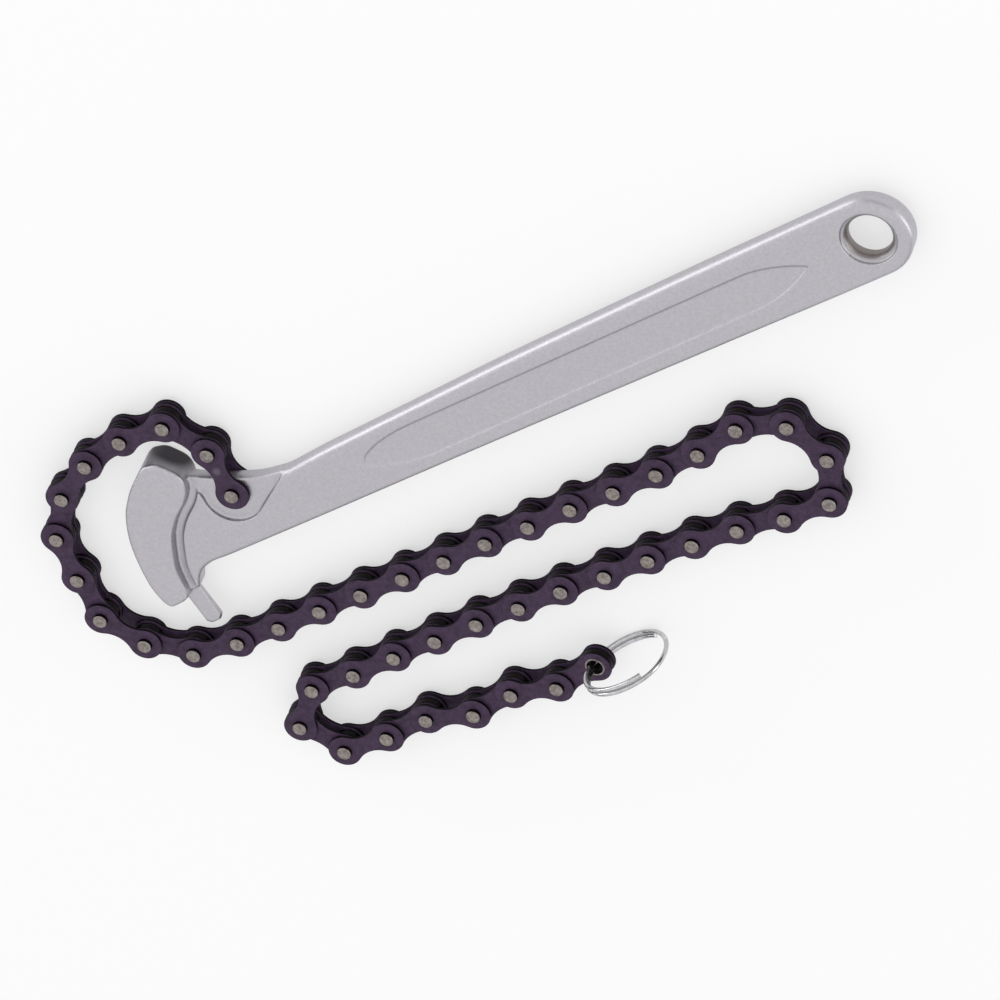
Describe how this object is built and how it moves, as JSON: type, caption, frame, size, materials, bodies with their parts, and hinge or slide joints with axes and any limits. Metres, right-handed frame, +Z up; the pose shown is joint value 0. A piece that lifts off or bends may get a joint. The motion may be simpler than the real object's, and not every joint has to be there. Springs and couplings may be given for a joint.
{
  "type": "chain wrench",
  "caption": "Hand chain wrench: a flat forged handle with a curved jaw and a hook spur, a long roller chain pinned at its head and a split ring on the chain's free end.",
  "frame": {"origin": "centre of the flat underside of the jaw, which the tool lies on", "axes": "+X along the handle from the jaw to the hanging hole, +Z up from the surface the tool lies on, which is the axis of every chain pin"},
  "size_m": [0.2547, 0.1169, 0.0233],
  "materials": {
    "satin_plated_steel": "satin chrome or nickel plate over forged steel",
    "blackened_steel": "blued and oiled",
    "ground_steel": "ground pin ends",
    "nickel_wire": "bright nickel plate"
  },
  "bodies": {
    "handle": {"handle": "satin_plated_steel"},
    "link_01": {"link_01_upper_plate": "blackened_steel", "link_01_lower_plate": "blackened_steel", "anchor_pin": "ground_steel", "link_01_pin": "ground_steel"},
    "link_02": {"link_02": "blackened_steel"},
    "link_03": {"link_03": "blackened_steel"},
    "link_04": {"link_04": "blackened_steel"},
    "link_05": {"link_05": "blackened_steel"},
    "link_06": {"link_06": "blackened_steel"},
    "link_07": {"link_07": "blackened_steel"},
    "link_08": {"link_08": "blackened_steel"},
    "link_09": {"link_09": "blackened_steel"},
    "link_10": {"link_10": "blackened_steel"},
    "link_11": {"link_11": "blackened_steel"},
    "link_12": {"link_12": "blackened_steel"},
    "link_13": {"link_13": "blackened_steel"},
    "link_14": {"link_14": "blackened_steel"},
    "link_15": {"link_15": "blackened_steel"},
    "link_16": {"link_16": "blackened_steel"},
    "link_17": {"link_17": "blackened_steel"},
    "link_18": {"link_18": "blackened_steel"},
    "link_19": {"link_19": "blackened_steel"},
    "link_20": {"link_20": "blackened_steel"},
    "link_21": {"link_21": "blackened_steel"},
    "link_22": {"link_22": "blackened_steel"},
    "link_23": {"link_23": "blackened_steel"},
    "link_24": {"link_24": "blackened_steel"},
    "link_25": {"link_25": "blackened_steel"},
    "link_26": {"link_26": "blackened_steel"},
    "link_27": {"link_27": "blackened_steel"},
    "link_28": {"link_28": "blackened_steel"},
    "link_29": {"link_29": "blackened_steel"},
    "link_30": {"link_30": "blackened_steel"},
    "link_31": {"link_31": "blackened_steel"},
    "link_32": {"link_32": "blackened_steel"},
    "link_33": {"link_33": "blackened_steel"},
    "link_34": {"link_34": "blackened_steel"},
    "link_35": {"link_35": "blackened_steel"},
    "link_36": {"link_36": "blackened_steel"},
    "link_37": {"link_37": "blackened_steel"},
    "link_38": {"link_38": "blackened_steel"},
    "link_39": {"link_39": "blackened_steel"},
    "link_40": {"link_40": "blackened_steel"},
    "link_41": {"link_41": "blackened_steel"},
    "link_42": {"link_42": "blackened_steel"},
    "link_43": {"link_43": "blackened_steel"},
    "link_44": {"link_44": "blackened_steel"},
    "link_45": {"link_45_upper_plate": "blackened_steel", "link_45_lower_plate": "blackened_steel", "link_45_first_pin": "ground_steel", "link_45_last_pin": "ground_steel"},
    "link_46": {"link_46_upper_plate": "blackened_steel", "link_46_lower_plate": "blackened_steel", "link_46_first_bush": "ground_steel", "link_46_last_bush": "ground_steel"},
    "first_roller": {"link_46_first_roller": "blackened_steel"},
    "last_roller": {"link_46_last_roller": "blackened_steel"},
    "split_ring": {"split_ring": "nickel_wire"}
  },
  "joints": [
    {"name": "hinge_01", "type": "hinge", "parent": "handle", "child": "link_01", "pos_m": [0.02656, 0.00283, 0.005], "axis": [0, 0, 1], "range_deg": [-3, 7]},
    {"name": "hinge_02", "type": "hinge", "parent": "link_01", "child": "link_02", "pos_m": [0.02811, 0.01544, 0.005], "axis": [0, 0, -1], "range_deg": [-7, 3]},
    {"name": "hinge_03", "type": "hinge", "parent": "link_02", "child": "link_03", "pos_m": [0.02234, 0.02676, 0.005], "axis": [0, 0, 1], "range_deg": [-5, 7]},
    {"name": "hinge_04", "type": "hinge", "parent": "link_03", "child": "link_04", "pos_m": [0.00971, 0.02808, 0.005], "axis": [0, 0, -1], "range_deg": [-6, 60]},
    {"name": "hinge_05", "type": "hinge", "parent": "link_04", "child": "link_05", "pos_m": [-0.00283, 0.0261, 0.005], "axis": [0, 0, 1], "range_deg": [-60, 6]},
    {"name": "hinge_06", "type": "hinge", "parent": "link_05", "child": "link_06", "pos_m": [-0.01434, 0.02073, 0.005], "axis": [0, 0, -1], "range_deg": [-5, 60]},
    {"name": "hinge_07", "type": "hinge", "parent": "link_06", "child": "link_07", "pos_m": [-0.023, 0.01144, 0.005], "axis": [0, 0, 1], "range_deg": [-60, 3]},
    {"name": "hinge_08", "type": "hinge", "parent": "link_07", "child": "link_08", "pos_m": [-0.02564, -0.00098, 0.005], "axis": [0, 0, -1], "range_deg": [-3, 60]},
    {"name": "hinge_09", "type": "hinge", "parent": "link_08", "child": "link_09", "pos_m": [-0.02763, -0.01353, 0.005], "axis": [0, 0, 1], "range_deg": [-60, 3]},
    {"name": "hinge_10", "type": "hinge", "parent": "link_09", "child": "link_10", "pos_m": [-0.02167, -0.02474, 0.005], "axis": [0, 0, -1], "range_deg": [-4, 60]},
    {"name": "hinge_11", "type": "hinge", "parent": "link_10", "child": "link_11", "pos_m": [-0.01166, -0.03256, 0.005], "axis": [0, 0, 1], "range_deg": [-60, 5]},
    {"name": "hinge_12", "type": "hinge", "parent": "link_11", "child": "link_12", "pos_m": [0.00088, -0.03454, 0.005], "axis": [0, 0, -1], "range_deg": [-6, 60]},
    {"name": "hinge_13", "type": "hinge", "parent": "link_12", "child": "link_13", "pos_m": [0.01357, -0.03521, 0.005], "axis": [0, 0, 1], "range_deg": [-55, 6]},
    {"name": "hinge_14", "type": "hinge", "parent": "link_13", "child": "link_14", "pos_m": [0.02626, -0.03543, 0.005], "axis": [0, 0, -1], "range_deg": [-7, 31]},
    {"name": "hinge_15", "type": "hinge", "parent": "link_14", "child": "link_15", "pos_m": [0.03896, -0.03587, 0.005], "axis": [0, 0, 1], "range_deg": [-21, 8]},
    {"name": "hinge_16", "type": "hinge", "parent": "link_15", "child": "link_16", "pos_m": [0.05165, -0.03632, 0.005], "axis": [0, 0, -1], "range_deg": [-9, 16]},
    {"name": "hinge_17", "type": "hinge", "parent": "link_16", "child": "link_17", "pos_m": [0.06435, -0.03654, 0.005], "axis": [0, 0, 1], "range_deg": [-12, 11]},
    {"name": "hinge_18", "type": "hinge", "parent": "link_17", "child": "link_18", "pos_m": [0.07705, -0.03654, 0.005], "axis": [0, 0, -1], "range_deg": [-12, 10]},
    {"name": "hinge_19", "type": "hinge", "parent": "link_18", "child": "link_19", "pos_m": [0.08974, -0.03698, 0.005], "axis": [0, 0, 1], "range_deg": [-8, 15]},
    {"name": "hinge_20", "type": "hinge", "parent": "link_19", "child": "link_20", "pos_m": [0.10244, -0.0372, 0.005], "axis": [0, 0, -1], "range_deg": [-19, 7]},
    {"name": "hinge_21", "type": "hinge", "parent": "link_20", "child": "link_21", "pos_m": [0.11513, -0.03765, 0.005], "axis": [0, 0, 1], "range_deg": [-6, 25]},
    {"name": "hinge_22", "type": "hinge", "parent": "link_21", "child": "link_22", "pos_m": [0.12783, -0.03787, 0.005], "axis": [0, 0, -1], "range_deg": [-34, 5]},
    {"name": "hinge_23", "type": "hinge", "parent": "link_22", "child": "link_23", "pos_m": [0.14052, -0.03743, 0.005], "axis": [0, 0, 1], "range_deg": [-5, 56]},
    {"name": "hinge_24", "type": "hinge", "parent": "link_23", "child": "link_24", "pos_m": [0.15306, -0.03544, 0.005], "axis": [0, 0, -1], "range_deg": [-60, 4]},
    {"name": "hinge_25", "type": "hinge", "parent": "link_24", "child": "link_25", "pos_m": [0.16484, -0.0402, 0.005], "axis": [0, 0, 1], "range_deg": [-4, 60]},
    {"name": "hinge_26", "type": "hinge", "parent": "link_25", "child": "link_26", "pos_m": [0.16855, -0.05234, 0.005], "axis": [0, 0, -1], "range_deg": [-60, 4]},
    {"name": "hinge_27", "type": "hinge", "parent": "link_26", "child": "link_27", "pos_m": [0.16201, -0.06323, 0.005], "axis": [0, 0, 1], "range_deg": [-4, 60]},
    {"name": "hinge_28", "type": "hinge", "parent": "link_27", "child": "link_28", "pos_m": [0.14934, -0.06234, 0.005], "axis": [0, 0, -1], "range_deg": [-60, 4]},
    {"name": "hinge_29", "type": "hinge", "parent": "link_28", "child": "link_29", "pos_m": [0.13683, -0.06014, 0.005], "axis": [0, 0, 1], "range_deg": [-5, 60]},
    {"name": "hinge_30", "type": "hinge", "parent": "link_29", "child": "link_30", "pos_m": [0.12418, -0.05903, 0.005], "axis": [0, 0, -1], "range_deg": [-60, 5]},
    {"name": "hinge_31", "type": "hinge", "parent": "link_30", "child": "link_31", "pos_m": [0.11151, -0.05814, 0.005], "axis": [0, 0, 1], "range_deg": [-6, 60]},
    {"name": "hinge_32", "type": "hinge", "parent": "link_31", "child": "link_32", "pos_m": [0.09883, -0.05748, 0.005], "axis": [0, 0, -1], "range_deg": [-60, 7]},
    {"name": "hinge_33", "type": "hinge", "parent": "link_32", "child": "link_33", "pos_m": [0.08616, -0.05659, 0.005], "axis": [0, 0, 1], "range_deg": [-8, 40]},
    {"name": "hinge_34", "type": "hinge", "parent": "link_33", "child": "link_34", "pos_m": [0.07347, -0.05615, 0.005], "axis": [0, 0, -1], "range_deg": [-28, 9]},
    {"name": "hinge_35", "type": "hinge", "parent": "link_34", "child": "link_35", "pos_m": [0.06078, -0.05571, 0.005], "axis": [0, 0, 1], "range_deg": [-12, 21]},
    {"name": "hinge_36", "type": "hinge", "parent": "link_35", "child": "link_36", "pos_m": [0.04808, -0.05548, 0.005], "axis": [0, 0, -1], "range_deg": [-16, 16]},
    {"name": "hinge_37", "type": "hinge", "parent": "link_36", "child": "link_37", "pos_m": [0.03538, -0.05526, 0.005], "axis": [0, 0, 1], "range_deg": [-25, 13]},
    {"name": "hinge_38", "type": "hinge", "parent": "link_37", "child": "link_38", "pos_m": [0.02268, -0.05526, 0.005], "axis": [0, 0, -1], "range_deg": [-11, 49]},
    {"name": "hinge_39", "type": "hinge", "parent": "link_38", "child": "link_39", "pos_m": [0.01, -0.0546, 0.005], "axis": [0, 0, 1], "range_deg": [-60, 10]},
    {"name": "hinge_40", "type": "hinge", "parent": "link_39", "child": "link_40", "pos_m": [0.00027, -0.06276, 0.005], "axis": [0, 0, -1], "range_deg": [-9, 60]},
    {"name": "hinge_41", "type": "hinge", "parent": "link_40", "child": "link_41", "pos_m": [0.00643, -0.07387, 0.005], "axis": [0, 0, 1], "range_deg": [-60, 10]},
    {"name": "hinge_42", "type": "hinge", "parent": "link_41", "child": "link_42", "pos_m": [0.01908, -0.07498, 0.005], "axis": [0, 0, -1], "range_deg": [-11, 60]},
    {"name": "hinge_43", "type": "hinge", "parent": "link_42", "child": "link_43", "pos_m": [0.03177, -0.07453, 0.005], "axis": [0, 0, 1], "range_deg": [-60, 13]},
    {"name": "hinge_44", "type": "hinge", "parent": "link_43", "child": "link_44", "pos_m": [0.04385, -0.07846, 0.005], "axis": [0, 0, -1], "range_deg": [-16, 60]},
    {"name": "hinge_45", "type": "hinge", "parent": "link_44", "child": "link_45", "pos_m": [0.0565, -0.07735, 0.005], "axis": [-0.051, 0.0118, 0.9986], "range_deg": [-60, 21]},
    {"name": "hinge_46", "type": "hinge", "parent": "link_45", "child": "link_46", "pos_m": [0.06886, -0.0802, 0.00566], "axis": [0.104, 0.0109, -0.9945], "range_deg": [-30, 60]},
    {"name": "ring_swing", "type": "hinge", "parent": "link_46", "child": "split_ring", "pos_m": [0.08142, -0.07888, 0.00699], "axis": [-0.104, -0.0109, 0.9945], "range_deg": [-60, 53]},
    {"name": "first_roller_spin", "type": "hinge", "parent": "link_46", "child": "first_roller", "pos_m": [0.06886, -0.0802, 0.00566], "axis": [-0.104, -0.0109, 0.9945], "continuous": true},
    {"name": "last_roller_spin", "type": "hinge", "parent": "link_46", "child": "last_roller", "pos_m": [0.08142, -0.07888, 0.00699], "axis": [-0.104, -0.0109, 0.9945], "continuous": true}
  ]
}
